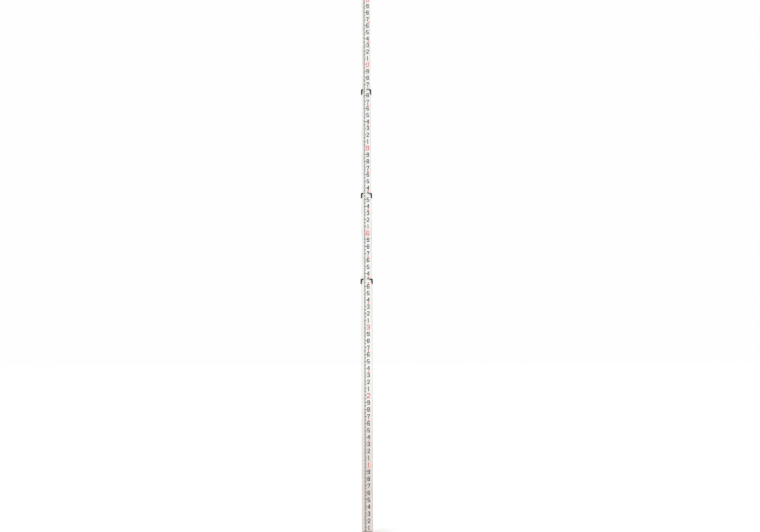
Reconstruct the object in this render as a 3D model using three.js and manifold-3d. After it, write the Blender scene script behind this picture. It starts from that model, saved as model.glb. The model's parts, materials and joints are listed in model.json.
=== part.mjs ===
// A five-section telescoping leveling rod, drawn with its sections part extended.
// Millimetres. +Z runs up the rod, the graduated front faces -Y, and the origin is the
// bottom centre of the foot.

import * as THREE from 'three';
import { mergeVertices } from 'three/addons/utils/BufferGeometryUtils.js';
import Module from 'manifold-3d';

const wasm = await Module();
wasm.setup();

// ---- Driving dimensions ----------------------------------------------------------------

const FOOT = 304.8;                                  // one foot of the graduation

// Readings in feet. With every section locked out, the graduation runs on without a break
// from one section to the next, and these are the readings at the section tops.
const TOP_READINGS = [3.69, 6.576, 9.867, 13.19, 16];
// The reading that stands at the mouth of the section below, as the rod is drawn.
const MOUTH_READINGS = [0, 5.3, 8.3, 11.6, 14.6];
const SECTION_COUNT = TOP_READINGS.length;
const LAST = SECTION_COUNT - 1;

const FIT_GAP = 0.3;                                 // between pieces fastened together

// Section tubes.
const BOTTOM_WIDTH = 50;                             // outer width of the lowest section
const BOTTOM_DEPTH = 32;                             // outer depth of the lowest section
const WALL = 1.6;
const SLIDE_GAP = 0.4;                               // between a section and the next one
const SECTION_STEP = 2 * (WALL + SLIDE_GAP);
const CORNER = 3;                                    // outer corner radius of a tube
const INNER_CORNER = 2.2;
const RECESS = 0.6;                                  // depth of the sunk front and back faces
const FRONT_RAIL_SHARE = 0.11;                       // front rail width over section width
const BACK_CHANNELS = [31, 27, 25, 23, 21];          // width of each sunk back face

// Lock holes.
const HOLE_DROPS = [205, 70, 60, 190];               // below the top of each section
const LOCK_HOLE_DIAMETER = 13.4;

// Collars.
const COLLAR_WALL = 2.2;
const COLLAR_RISE = 5;                               // height above the tube's mouth
const COLLAR_SKIRT = 17;                             // length below the tube's mouth
const COLLAR_EDGE = 0.6;                             // rounding of the outer rims
const COLLAR_CORNER = 5.5;
const COLLAR_WRAP = 3.6;                             // how far it grips the front rails
const HOOK_HALF_GAP = 14;                            // half the opening between its hooks
const RIB_HEIGHT = 4;
const RIB_PROUD = 0.5;
const RIB_MARGIN = 9.5;                              // from the tube's side to the rib's end

// Lower plug, and the lock button inside it.
const PLUG_HEIGHT = 20;
const PLUG_FLANGE = 2;
const BUTTON_RISE = 10;                              // button axis above the tube's end
const BUTTON_DIAMETER = 12.8;
const BUTTON_LENGTH = 7;
const BUTTON_DOME = 0.8;
const BUTTON_PROUD = 0.1;                            // tip beyond its own section's back
const BUTTON_TRAVEL = 2;
const SHOULDER_DIAMETER = 15;
const SHOULDER_THICKNESS = 1.4;
const CUP_DIAMETER = 10.2;
const CUP_DEPTH = 5.2;
const BORE_DEPTH = 9.8;                              // below the plug's back face

// Button spring, drawn at the length it has with the button pushed right in.
const SPRING_DIAMETER = 8.6;
const SPRING_WIRE = 0.9;
const SPRING_TURNS = 4;
const STEPS_PER_TURN = 8;

// Countersunk screws of the plugs and the cap.
const SCREW_HEAD = 6;
const SCREW_SHANK = 3;
const SCREW_LENGTH = 5.5;
const SCREW_SINK = 0.1;                              // head face below the tube's surface

// Domed rivets of the collars.
const RIVET_HEAD = 5.6;
const RIVET_HEAD_HEIGHT = 1;
const RIVET_DROP = 10;                               // below the tube's mouth

// Foot shoe and its screw.
const SHOE_PLATE = 4;                                // thickness of the plate it stands on
const SHOE_LEDGE = 0.8;                              // how far it stands out past the tube
const SHOE_INSERT = 22;                              // height of the block inside the tube
const SHOE_POCKET_FLOOR = 7;
const SHOE_POCKET_WALL = 3;
const SHOE_SCREW_BLOCK = 10;                         // solid stretch left behind the pocket
const SHOE_LIP = 9;                                  // height of the front lip above the plate
const SHOE_TONGUE = 17;                              // height of the back tongue above it
const SHOE_TONGUE_WIDTH = 28.5;
const SHOE_SCREW_HEIGHT = SHOE_PLATE + 0.55 * SHOE_TONGUE;
const SHOE_SCREW_HEAD = 8;
const SHOE_SCREW_HEAD_HEIGHT = 2.2;
const SHOE_SCREW_SHANK = 4;
const SHOE_SCREW_LENGTH = 10;

// Top cap.
const CAP_PLATE = 3;
const CAP_LEDGE = 0.8;
const CAP_PLUG = 15;
const CAP_SCREW_DROP = 8;

// Badge on the back of the lowest section.
const BADGE_WIDTH = 16.5;
const BADGE_HEIGHT = 43.5;
const BADGE_THICKNESS = 1.5;
const BADGE_DROP = 100;                              // its centre below the tube's mouth
const BADGE_SHIFT = -4;
const BADGE_EDGE = 0.4;
const INSERT_WIDTH = 10.4;
const INSERT_HEIGHT = 26;
const INSERT_THICKNESS = 1.2;

const CORNER_STEPS = 3;                              // an arc has twice as many sides
const CAPSULE_STEPS = 5;
const ROUND_STEPS = 24;
const SMALL_ROUND_STEPS = 12;
const OVERSHOOT = 1;                                 // how far a cutter runs past a face

// ---- Finishes --------------------------------------------------------------------------

const ALUMINIUM = { color: 0xc9beb4, roughness: 0.42, metalness: 0.85 };
const WHITE_PAINT = { color: 0xf2f1ec, roughness: 0.45, metalness: 0.05 };
const BLACK_PLASTIC = { color: 0x17171a, roughness: 0.5, metalness: 0 };
const GREY_NYLON = { color: 0x3a3a3e, roughness: 0.6, metalness: 0 };
const STEEL = { color: 0xb4b6ba, roughness: 0.3, metalness: 1 };
const BRONZE_METAL = { color: 0x6b5c50, roughness: 0.5, metalness: 0.6 };
const ORANGE_PLASTIC = { color: 0xe4573f, roughness: 0.3, metalness: 0 };
const RED_PLASTIC = { color: 0xc9302c, roughness: 0.4, metalness: 0 };

// ---- Solids ----------------------------------------------------------------------------

function toSolid(geometry) {
  const bare = geometry.clone();
  bare.deleteAttribute('normal');
  bare.deleteAttribute('uv');
  const merged = mergeVertices(bare, 1e-4);
  const vertProperties = new Float32Array(merged.attributes.position.array);
  const triVerts = new Uint32Array(merged.index.array);
  return new wasm.Manifold(new wasm.Mesh({ numProp: 3, vertProperties, triVerts }));
}

function toGeometry(solid) {
  const { vertProperties, triVerts } = solid.getMesh();
  const geometry = new THREE.BufferGeometry();
  geometry.setAttribute('position', new THREE.BufferAttribute(vertProperties, 3));
  geometry.setIndex(new THREE.BufferAttribute(triVerts, 1));
  geometry.computeVertexNormals();
  return geometry;
}

function cut(solid, ...cutters) {
  return cutters.reduce((rest, cutter) => rest.subtract(cutter), solid);
}

function join(solid, ...others) {
  return others.reduce((whole, other) => whole.add(other), solid);
}

function roundedRectangle(width, depth, radius) {
  const x = width / 2 - radius;
  const y = depth / 2 - radius;
  const shape = new THREE.Shape();
  shape.absarc(x, y, radius, 0, Math.PI / 2);
  shape.absarc(-x, y, radius, Math.PI / 2, Math.PI);
  shape.absarc(-x, -y, radius, Math.PI, Math.PI * 1.5);
  shape.absarc(x, -y, radius, Math.PI * 1.5, Math.PI * 2);
  return shape;
}

// An upright capsule outline.
function capsule(width, height) {
  const radius = width / 2;
  const straight = height / 2 - radius;
  const shape = new THREE.Shape();
  shape.absarc(0, straight, radius, 0, Math.PI);
  shape.absarc(0, -straight, radius, Math.PI, Math.PI * 2);
  return shape;
}

// An outline drawn out along Z from one height to another.
function prism(shape, from, to) {
  const options = { depth: to - from, bevelEnabled: false, curveSegments: CORNER_STEPS };
  return toSolid(new THREE.ExtrudeGeometry(shape, options).translate(0, 0, from));
}

// The same with its two rims rounded off.
function softPrism(shape, from, to, edge, steps = CORNER_STEPS) {
  const options = {
    depth: to - from - 2 * edge,
    bevelThickness: edge,
    bevelSize: edge,
    bevelOffset: -edge,
    bevelSegments: 1,
    curveSegments: steps,
  };
  return toSolid(new THREE.ExtrudeGeometry(shape, options).translate(0, 0, from + edge));
}

function block(x0, x1, y0, y1, z0, z1) {
  const geometry = new THREE.BoxGeometry(x1 - x0, y1 - y0, z1 - z0);
  return toSolid(geometry.translate((x0 + x1) / 2, (y0 + y1) / 2, (z0 + z1) / 2));
}

// A bar along Z with 45-degree edges: it has its width at y = narrow and is wider at y = wide.
function slopedBar(width, narrow, wide, from, to) {
  const slope = Math.abs(wide - narrow);
  const shape = new THREE.Shape([
    new THREE.Vector2(-width / 2, narrow),
    new THREE.Vector2(width / 2, narrow),
    new THREE.Vector2(width / 2 + slope, wide),
    new THREE.Vector2(-width / 2 - slope, wide),
  ]);
  return prism(shape, from, to);
}

// A round bar along Y.
function roundBar(diameter, y0, y1, steps = ROUND_STEPS) {
  const geometry = new THREE.CylinderGeometry(diameter / 2, diameter / 2, y1 - y0, steps);
  return toSolid(geometry.translate(0, (y0 + y1) / 2, 0));
}

// A solid turned about Y, from a profile of [radius, y] that starts and ends on the axis.
function turned(profile, steps) {
  return new THREE.LatheGeometry(profile.map(([r, y]) => new THREE.Vector2(r, y)), steps);
}

// The same turned about X, with its +Y end now towards +X.
function turnedAlongX(profile) {
  return toSolid(turned(profile, SMALL_ROUND_STEPS).rotateZ(-Math.PI / 2));
}

// A solid made for the +X side and its twin on the -X side, x from the middle and z up.
function bothSides(solid, x, z) {
  return [solid.translate([x, 0, z]), solid.rotate([0, 0, 180]).translate([-x, 0, z])];
}

function piece(name, look, geometry) {
  const mesh = new THREE.Mesh(geometry, new THREE.MeshStandardMaterial(look));
  mesh.name = name;
  return mesh;
}

function pieceFrom(name, look, solid) {
  return piece(name, look, toGeometry(solid));
}

function sidePieces(name, look, solid, x, z) {
  const [right, left] = bothSides(solid, x, z);
  return [pieceFrom(`${name}_right`, look, right), pieceFrom(`${name}_left`, look, left)];
}

// ---- Section measures ------------------------------------------------------------------

const sectionWidth = (index) => BOTTOM_WIDTH - index * SECTION_STEP;
const sectionDepth = (index) => BOTTOM_DEPTH - index * SECTION_STEP;
const frontFaceWidth = (index) => sectionWidth(index) * (1 - 2 * FRONT_RAIL_SHARE);

// Height of each section's top as drawn: its reading less what stays hidden.
const sectionTops = [TOP_READINGS[0] * FOOT];
for (let index = 1; index < SECTION_COUNT; index += 1) {
  const shown = (TOP_READINGS[index] - MOUTH_READINGS[index]) * FOOT;
  sectionTops.push(sectionTops[index - 1] + shown);
}

// An upper section is as long as its reach when locked out, plus what stays in the tube
// below: its button then sits in that tube's lock hole.
function sectionLength(index) {
  if (index === 0) {
    return sectionTops[0] - SHOE_PLATE - FIT_GAP;
  }
  const reach = (TOP_READINGS[index] - TOP_READINGS[index - 1]) * FOOT;
  return reach + HOLE_DROPS[index - 1] + BUTTON_RISE;
}

// ---- Screws, rivets and their holes ------------------------------------------------------

// Along X, with the face of the head at x = 0 and the shank towards -X.
function countersunkScrew() {
  const head = SCREW_HEAD / 2;
  const shank = SCREW_SHANK / 2;
  return turnedAlongX([
    [0, -SCREW_LENGTH],
    [shank, -SCREW_LENGTH],
    [shank, shank - head],
    [head, 0],
    [0, 0],
  ]);
}

function countersunkHole() {
  const head = SCREW_HEAD / 2 + FIT_GAP;
  const shank = SCREW_SHANK / 2 + FIT_GAP;
  return turnedAlongX([
    [0, -SCREW_LENGTH - FIT_GAP],
    [shank, -SCREW_LENGTH - FIT_GAP],
    [shank, shank - head],
    [head, 0],
    [head, OVERSHOOT],
    [0, OVERSHOOT],
  ]);
}

// Along X, with the underside of the head at x = 0. The shank stops inside the tube's wall.
function domedRivet() {
  const head = RIVET_HEAD / 2;
  const shank = SCREW_SHANK / 2;
  const reach = COLLAR_WALL + FIT_GAP + 0.9 * WALL;
  return turnedAlongX([
    [0, -reach],
    [shank, -reach],
    [shank, FIT_GAP / 2],
    [head, FIT_GAP / 2],
    [head, 0.4 * RIVET_HEAD_HEIGHT],
    [0.6 * head, 0.85 * RIVET_HEAD_HEIGHT],
    [0, RIVET_HEAD_HEIGHT],
  ]);
}

function rivetHole() {
  const radius = SCREW_SHANK / 2 + FIT_GAP;
  const reach = 2 * COLLAR_WALL;
  return turnedAlongX([[0, -reach], [radius, -reach], [radius, OVERSHOOT], [0, OVERSHOOT]]);
}

// ---- Section tube ----------------------------------------------------------------------

function hollowTube(index, length) {
  const width = sectionWidth(index);
  const depth = sectionDepth(index);
  const outside = prism(roundedRectangle(width, depth, CORNER), 0, length);
  const hollow = roundedRectangle(width - 2 * WALL, depth - 2 * WALL, INNER_CORNER);
  const [from, to] = [-OVERSHOOT, length + OVERSHOOT];
  const front = -depth / 2;
  const back = depth / 2;
  return cut(
    outside,
    prism(hollow, from, to),
    slopedBar(frontFaceWidth(index), front + RECESS, front - RECESS, from, to),
    slopedBar(BACK_CHANNELS[index], back - RECESS, back + RECESS, from, to),
  );
}

// A round cutter through the back wall, z up the tube.
function backHole(index, diameter, z) {
  const back = sectionDepth(index) / 2;
  return roundBar(diameter, back - 2 * WALL, back + OVERSHOOT).translate([0, 0, z]);
}

function lowerEndHoles(index) {
  if (index === 0) {
    const height = SHOE_SCREW_HEIGHT - SHOE_PLATE - FIT_GAP;
    return [backHole(index, SHOE_SCREW_SHANK + 2 * FIT_GAP, height)];
  }
  const x = sectionWidth(index) / 2 - SCREW_SINK;
  const screwHoles = bothSides(countersunkHole(), x, BUTTON_RISE);
  return [backHole(index, LOCK_HOLE_DIAMETER, BUTTON_RISE), ...screwHoles];
}

function upperEndHoles(index, length) {
  const x = sectionWidth(index) / 2;
  if (index === LAST) {
    return bothSides(countersunkHole(), x - SCREW_SINK, length - CAP_SCREW_DROP);
  }
  const lockHole = backHole(index, LOCK_HOLE_DIAMETER, length - HOLE_DROPS[index]);
  return [lockHole, ...bothSides(rivetHole(), x, length - RIVET_DROP)];
}

function sectionTube(index) {
  const length = sectionLength(index);
  const tube = hollowTube(index, length);
  return cut(tube, ...lowerEndHoles(index), ...upperEndHoles(index, length));
}

// ---- Collar ----------------------------------------------------------------------------

const collarSpread = 2 * (FIT_GAP + COLLAR_WALL);

// A raised bar with sloping edges across the middle of the collar's back.
function collarRib(index) {
  const back = (sectionDepth(index) + collarSpread) / 2;
  const half = sectionWidth(index) / 2 - RIB_MARGIN;
  const crest = RIB_HEIGHT - 2 * RIB_PROUD;
  const bar = slopedBar(crest, RIB_PROUD, -RIB_PROUD, -half, half);
  const middle = (COLLAR_RISE - COLLAR_SKIRT) / 2;
  return bar.rotate([0, 90, 0]).translate([0, back, middle]);
}

// z = 0 is the mouth of the tube that the collar is fixed to. Its skirt grips the tube's
// sides, back and front rails. Its upper part guides the next tube, and is open in front.
function collar(index) {
  const width = sectionWidth(index);
  const depth = sectionDepth(index);
  const outline = roundedRectangle(width + collarSpread, depth + collarSpread, COLLAR_CORNER);
  const shell = softPrism(outline, -COLLAR_SKIRT, COLLAR_RISE, COLLAR_EDGE);
  const socket = roundedRectangle(width + 2 * FIT_GAP, depth + 2 * FIT_GAP, CORNER + FIT_GAP);
  const play = 2 * FIT_GAP - SECTION_STEP;
  const throat = roundedRectangle(width + play, depth + play, CORNER);
  const below = -COLLAR_SKIRT - OVERSHOOT;
  const above = COLLAR_RISE + OVERSHOOT;
  const front = -(depth + collarSpread) / 2 - OVERSHOOT;
  const grip = width / 2 - COLLAR_WRAP;
  return cut(
    join(shell, collarRib(index)),
    prism(socket, below, FIT_GAP),
    prism(throat, -OVERSHOOT, above),
    block(-grip, grip, front, 0, below, 0),
    block(-HOOK_HALF_GAP, HOOK_HALF_GAP, front, 0, -OVERSHOOT, above),
    ...bothSides(rivetHole(), (width + collarSpread) / 2, -RIVET_DROP),
  );
}

function collarPieces(index, mouth) {
  const number = index + 1;
  const side = (sectionWidth(index) + collarSpread) / 2;
  const body = pieceFrom(`collar_${number}`, BLACK_PLASTIC, collar(index));
  body.position.z = mouth;
  const name = `collar_rivet_${number}`;
  return [body, ...sidePieces(name, STEEL, domedRivet(), side, mouth - RIVET_DROP)];
}

// ---- Lower plug, lock button and spring --------------------------------------------------

// z = 0 is the lower end of the tube that the plug closes.
function lowerPlug(index) {
  const width = sectionWidth(index);
  const depth = sectionDepth(index);
  const inset = 2 * (WALL + FIT_GAP);
  const flange = roundedRectangle(width, depth, CORNER);
  const body = roundedRectangle(width - inset, depth - inset, INNER_CORNER - FIT_GAP);
  const boreFloor = (depth - inset) / 2 - BORE_DEPTH;
  const bore = roundBar(SHOULDER_DIAMETER + 2 * FIT_GAP, boreFloor, depth);
  return cut(
    join(
      prism(body, -PLUG_FLANGE / 2, PLUG_HEIGHT),
      softPrism(flange, -PLUG_FLANGE, -FIT_GAP, FIT_GAP),
    ),
    bore.translate([0, 0, BUTTON_RISE]),
    ...bothSides(countersunkHole(), width / 2 - SCREW_SINK, BUTTON_RISE),
  );
}

// Turned about Y with the tip of its dome at y = 0, and hollow from behind for the spring.
function lockButton() {
  const radius = BUTTON_DIAMETER / 2;
  const shoulder = SHOULDER_DIAMETER / 2;
  const rear = -BUTTON_LENGTH;
  return turned([
    [0, rear + CUP_DEPTH],
    [CUP_DIAMETER / 2, rear + CUP_DEPTH],
    [CUP_DIAMETER / 2, rear],
    [shoulder, rear],
    [shoulder, rear + SHOULDER_THICKNESS],
    [radius, rear + SHOULDER_THICKNESS],
    [radius, -BUTTON_DOME],
    [0.9 * radius, -0.4 * BUTTON_DOME],
    [0.5 * radius, -0.1 * BUTTON_DOME],
    [0, 0],
  ], ROUND_STEPS);
}

class Helix extends THREE.Curve {
  constructor(radius, rise, turns) {
    super();
    this.radius = radius;
    this.rise = rise;
    this.turns = turns;
  }

  getPoint(t, target = new THREE.Vector3()) {
    const angle = t * this.turns * 2 * Math.PI;
    const x = this.radius * Math.cos(angle);
    const z = this.radius * Math.sin(angle);
    return target.set(x, t * this.rise, z);
  }
}

// A coil about Y, from y = 0 up to its length.
function coilSpring(length) {
  const wire = new THREE.Shape();
  wire.absarc(0, 0, SPRING_WIRE / 2, 0, Math.PI * 2);
  const path = new Helix((SPRING_DIAMETER - SPRING_WIRE) / 2, length - SPRING_WIRE, SPRING_TURNS);
  const options = {
    steps: SPRING_TURNS * STEPS_PER_TURN,
    curveSegments: CORNER_STEPS,
    extrudePath: path,
  };
  return new THREE.ExtrudeGeometry(wire, options).translate(0, SPRING_WIRE / 2, 0);
}

function plugPieces(index) {
  const number = index + 1;
  const back = sectionDepth(index) / 2;
  const plug = pieceFrom(`lower_plug_${number}`, GREY_NYLON, lowerPlug(index));
  const screwX = sectionWidth(index) / 2 - SCREW_SINK;
  const screwName = `plug_screw_${number}`;
  const screws = sidePieces(screwName, STEEL, countersunkScrew(), screwX, BUTTON_RISE);

  const tip = back + BUTTON_PROUD;
  const button = piece(`lock_button_${number}`, RED_PLASTIC, lockButton());
  button.position.set(0, tip, BUTTON_RISE);

  const springFoot = back - WALL - FIT_GAP - BORE_DEPTH + FIT_GAP;
  const cupFloor = tip - BUTTON_LENGTH + CUP_DEPTH;
  const springLength = cupFloor - BUTTON_TRAVEL - FIT_GAP - springFoot;
  const spring = piece(`lock_spring_${number}`, STEEL, coilSpring(springLength));
  spring.position.set(0, springFoot, BUTTON_RISE);
  return [plug, ...screws, button, spring];
}

// ---- Foot shoe -------------------------------------------------------------------------

// The plate that the rod stands on, the block inside the tube with a pocket to save weight,
// and two upstands outside: a low lip on the sunk front face and a tongue in the back channel.
function footShoe() {
  const width = BOTTOM_WIDTH + 2 * SHOE_LEDGE;
  const depth = BOTTOM_DEPTH + 2 * SHOE_LEDGE;
  const inset = 2 * (WALL + FIT_GAP);
  const plug = roundedRectangle(
    BOTTOM_WIDTH - inset,
    BOTTOM_DEPTH - inset,
    INNER_CORNER - FIT_GAP,
  );
  const joint = SHOE_PLATE / 2;
  const outer = depth / 2;
  const inner = BOTTOM_DEPTH / 2 - RECESS + FIT_GAP;
  const lip = frontFaceWidth(0) / 2 - FIT_GAP;
  const tongue = SHOE_TONGUE_WIDTH / 2;
  const pocketHalf = (BOTTOM_WIDTH - inset) / 2 - SHOE_POCKET_WALL;
  const pocket = block(
    -pocketHalf,
    pocketHalf,
    -(BOTTOM_DEPTH - inset) / 2 + SHOE_POCKET_WALL,
    (BOTTOM_DEPTH - inset) / 2 - SHOE_SCREW_BLOCK,
    SHOE_POCKET_FLOOR,
    SHOE_PLATE + SHOE_INSERT + OVERSHOOT,
  );
  const hole = roundBar(
    SHOE_SCREW_SHANK + 2 * FIT_GAP,
    outer - SHOE_SCREW_LENGTH - FIT_GAP,
    outer + OVERSHOOT,
    SMALL_ROUND_STEPS,
  );
  return cut(
    join(
      prism(roundedRectangle(width, depth, CORNER), 0, SHOE_PLATE),
      prism(plug, joint, SHOE_PLATE + SHOE_INSERT),
      block(-lip, lip, -outer, -inner, joint, SHOE_PLATE + SHOE_LIP),
      block(-tongue, tongue, inner, outer, joint, SHOE_PLATE + SHOE_TONGUE),
    ),
    pocket,
    hole.translate([0, 0, SHOE_SCREW_HEIGHT]),
  );
}

// A pan-head screw about Y, with y = 0 on the tongue's face.
function shoeScrew() {
  const head = SHOE_SCREW_HEAD / 2;
  const shank = SHOE_SCREW_SHANK / 2;
  const rise = SHOE_SCREW_HEAD_HEIGHT;
  return turned([
    [0, -SHOE_SCREW_LENGTH],
    [shank, -SHOE_SCREW_LENGTH],
    [shank, FIT_GAP],
    [head, FIT_GAP],
    [head, 0.55 * rise],
    [0.8 * head, 0.9 * rise],
    [0.5 * head, rise],
    [0, rise],
  ], SMALL_ROUND_STEPS);
}

function footPieces() {
  const shoe = pieceFrom('foot_shoe', BRONZE_METAL, footShoe());
  const screw = piece('foot_screw', STEEL, shoeScrew());
  screw.position.set(0, BOTTOM_DEPTH / 2 + SHOE_LEDGE, SHOE_SCREW_HEIGHT);
  return [shoe, screw];
}

// ---- Top cap ---------------------------------------------------------------------------

// z = 0 is the top end of the last section.
function topCap() {
  const width = sectionWidth(LAST);
  const depth = sectionDepth(LAST);
  const ledge = 2 * CAP_LEDGE;
  const inset = 2 * (WALL + FIT_GAP);
  const lid = roundedRectangle(width + ledge, depth + ledge, CORNER + CAP_LEDGE);
  const plug = roundedRectangle(width - inset, depth - inset, INNER_CORNER - FIT_GAP);
  return cut(
    join(
      softPrism(lid, FIT_GAP, FIT_GAP + CAP_PLATE, CAP_LEDGE),
      prism(plug, -CAP_PLUG, CAP_PLATE / 2),
    ),
    ...bothSides(countersunkHole(), width / 2 - SCREW_SINK, -CAP_SCREW_DROP),
  );
}

function capPieces(mouth) {
  const cap = pieceFrom('top_cap', BLACK_PLASTIC, topCap());
  cap.position.z = mouth;
  const x = sectionWidth(LAST) / 2 - SCREW_SINK;
  return [cap, ...sidePieces('cap_screw', STEEL, countersunkScrew(), x, mouth - CAP_SCREW_DROP)];
}

// ---- Badge -----------------------------------------------------------------------------

// A capsule-shaped plate standing upright, its back at y = 0 and its face towards +Y.
function uprightPlate(width, height, thickness) {
  const plate = softPrism(capsule(width, height), 0, thickness, BADGE_EDGE, CAPSULE_STEPS);
  return plate.rotate([-90, 0, 0]);
}

function badgePieces(mouth) {
  const window = prism(
    capsule(INSERT_WIDTH + 2 * FIT_GAP, INSERT_HEIGHT + 2 * FIT_GAP),
    -OVERSHOOT,
    BADGE_THICKNESS + OVERSHOOT,
  );
  const plate = uprightPlate(BADGE_WIDTH, BADGE_HEIGHT, BADGE_THICKNESS);
  const rim = pieceFrom('badge_rim', BLACK_PLASTIC, cut(plate, window.rotate([-90, 0, 0])));
  const face = uprightPlate(INSERT_WIDTH, INSERT_HEIGHT, INSERT_THICKNESS);
  const insert = pieceFrom('badge_insert', ORANGE_PLASTIC, face);
  const badge = new THREE.Group();
  badge.position.set(BADGE_SHIFT, BOTTOM_DEPTH / 2 - RECESS + FIT_GAP, mouth - BADGE_DROP);
  badge.add(rim, insert);
  return badge;
}

// ---- Assembly --------------------------------------------------------------------------

// One section with all that is fixed in it. Its own z = 0 is the tube's lower end.
function section(index) {
  const length = sectionLength(index);
  const look = index === 0 ? ALUMINIUM : WHITE_PAINT;
  const group = new THREE.Group();
  group.position.z = sectionTops[index] - length;
  group.add(pieceFrom(`section_tube_${index + 1}`, look, sectionTube(index)));
  if (index === 0) {
    group.add(badgePieces(length));
  } else {
    group.add(...plugPieces(index));
  }
  if (index === LAST) {
    group.add(...capPieces(length));
  } else {
    group.add(...collarPieces(index, length));
  }
  return group;
}

const rod = new THREE.Group();
rod.add(...footPieces());
for (let index = 0; index < SECTION_COUNT; index += 1) {
  rod.add(section(index));
}

export default rod;
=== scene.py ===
"""Looks of a telescoping leveling rod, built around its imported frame. Metres, +Z up."""

import json
import math

import bmesh
import bpy
from mathutils import Euler, Matrix, Vector
from mathutils.geometry import tessellate_polygon


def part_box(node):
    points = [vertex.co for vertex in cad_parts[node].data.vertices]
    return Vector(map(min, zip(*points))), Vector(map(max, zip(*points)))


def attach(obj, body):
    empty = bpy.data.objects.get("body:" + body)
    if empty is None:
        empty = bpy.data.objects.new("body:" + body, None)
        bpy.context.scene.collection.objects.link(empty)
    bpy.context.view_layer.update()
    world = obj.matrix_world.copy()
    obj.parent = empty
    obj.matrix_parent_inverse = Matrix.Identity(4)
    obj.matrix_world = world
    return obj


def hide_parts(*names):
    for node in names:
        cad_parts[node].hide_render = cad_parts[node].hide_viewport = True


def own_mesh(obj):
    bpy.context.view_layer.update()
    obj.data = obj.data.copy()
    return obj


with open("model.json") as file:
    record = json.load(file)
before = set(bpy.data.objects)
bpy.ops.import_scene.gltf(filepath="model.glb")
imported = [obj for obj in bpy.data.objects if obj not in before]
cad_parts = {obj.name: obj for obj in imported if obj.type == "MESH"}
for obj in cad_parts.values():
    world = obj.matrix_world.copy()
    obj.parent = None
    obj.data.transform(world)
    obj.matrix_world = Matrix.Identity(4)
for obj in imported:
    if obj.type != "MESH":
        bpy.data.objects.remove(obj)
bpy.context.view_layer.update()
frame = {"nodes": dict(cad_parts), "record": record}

MM = 0.001
FOOT = 0.3048
HUNDREDTH = FOOT / 100

# ---- The rod, from its frame ----------------------------------------------------------

SECTIONS = (1, 2, 3, 4, 5)
BODIES = {1: "base_section", 2: "section_2", 3: "section_3", 4: "section_4", 5: "section_5"}
TOP_READINGS = {0: 0.0, 1: 3.69, 2: 6.576, 3: 9.867, 4: 13.19, 5: 16.0}  # feet
RECESS = 0.6 * MM                # depth of the sunk front and back faces of a tube
BACK_CHANNELS = {1: 31 * MM, 2: 27 * MM, 3: 25 * MM, 4: 23 * MM, 5: 21 * MM}  # widths
TUBE_BOXES = {section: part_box(f"section_tube_{section}") for section in SECTIONS}


def front_floor(section):
    """The y of the sunk front face of a tube."""
    return TUBE_BOXES[section][0].y + RECESS


def back_floor(section):
    return TUBE_BOXES[section][1].y - RECESS


def height_of(section, reading):
    """The height of a reading in feet on a section, as the rod is drawn."""
    return TUBE_BOXES[section][1].z - (TOP_READINGS[section] - reading) * FOOT


# ---- Node trees -----------------------------------------------------------------------


class Shade:
    """A material's node tree, with short ways to add to it."""

    def __init__(self, name):
        self.material = bpy.data.materials.new(name)
        self.material.use_nodes = True
        self.tree = self.material.node_tree
        self.shader = self.tree.nodes["Principled BSDF"]
        self.coordinates = self.add("ShaderNodeTexCoord")
        self.place = self.coordinates.outputs["Object"]

    def add(self, kind, inputs=None, **settings):
        node = self.tree.nodes.new(kind)
        for key, value in settings.items():
            setattr(node, key, value)
        for key, value in (inputs or {}).items():
            self.feed(node.inputs[key], value)
        return node

    def feed(self, socket, value):
        if isinstance(value, bpy.types.NodeSocket):
            self.tree.links.new(value, socket)
        else:
            socket.default_value = value

    def set(self, **values):
        """Sets sockets of the shader: underscores in a name stand for spaces."""
        for key, value in values.items():
            self.feed(self.shader.inputs[key.replace("_", " ")], value)

    def math(self, operation, a, b=0.0):
        return self.add("ShaderNodeMath", {0: a, 1: b}, operation=operation).outputs[0]

    def range(self, value, low, high, to_low=0.0, to_high=1.0):
        """value from low..high to to_low..to_high, held at both ends and eased."""
        inputs = {"Value": value, 1: low, 2: high, 3: to_low, 4: to_high}
        node = self.add("ShaderNodeMapRange", inputs, interpolation_type="SMOOTHSTEP")
        return node.outputs[0]

    def stretched(self, x, y, z):
        inputs = {"Vector": self.place, "Scale": (x, y, z)}
        return self.add("ShaderNodeMapping", inputs, vector_type="POINT").outputs[0]

    def noise(self, scale, detail=3.0, roughness=0.55, where=None):
        inputs = {"Vector": where or self.place, "Scale": scale, "Detail": detail,
                  "Roughness": roughness}
        return self.add("ShaderNodeTexNoise", inputs).outputs[0]

    def cells(self, scale, where=None):
        """Distance to the nearest of a scatter of points."""
        inputs = {"Vector": where or self.place, "Scale": scale}
        return self.add("ShaderNodeTexVoronoi", inputs).outputs["Distance"]

    def mix(self, factor, a, b):
        inputs = {0: factor, 6: a, 7: b}
        return self.add("ShaderNodeMix", inputs, data_type="RGBA").outputs[2]

    def axes(self, vector):
        node = self.add("ShaderNodeSeparateXYZ", {0: vector})
        return node.outputs[0], node.outputs[1], node.outputs[2]

    def bump(self, height, strength, distance):
        inputs = {"Height": height, "Strength": strength, "Distance": distance}
        return self.add("ShaderNodeBump", inputs).outputs[0]

    def rounded_edges(self, radius):
        """1 along the part's outer edges and 0 away from them."""
        soft = self.add("ShaderNodeBevel", {"Radius": radius}, samples=4).outputs[0]
        hard = self.add("ShaderNodeNewGeometry").outputs["Normal"]
        inputs = {0: soft, 1: hard}
        facing = self.add("ShaderNodeVectorMath", inputs, operation="DOT_PRODUCT")
        return self.range(facing.outputs["Value"], 0.995, 0.9)


def colour(red, green, blue):
    return (red, green, blue, 1.0)


# ---- Materials ------------------------------------------------------------------------

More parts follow.
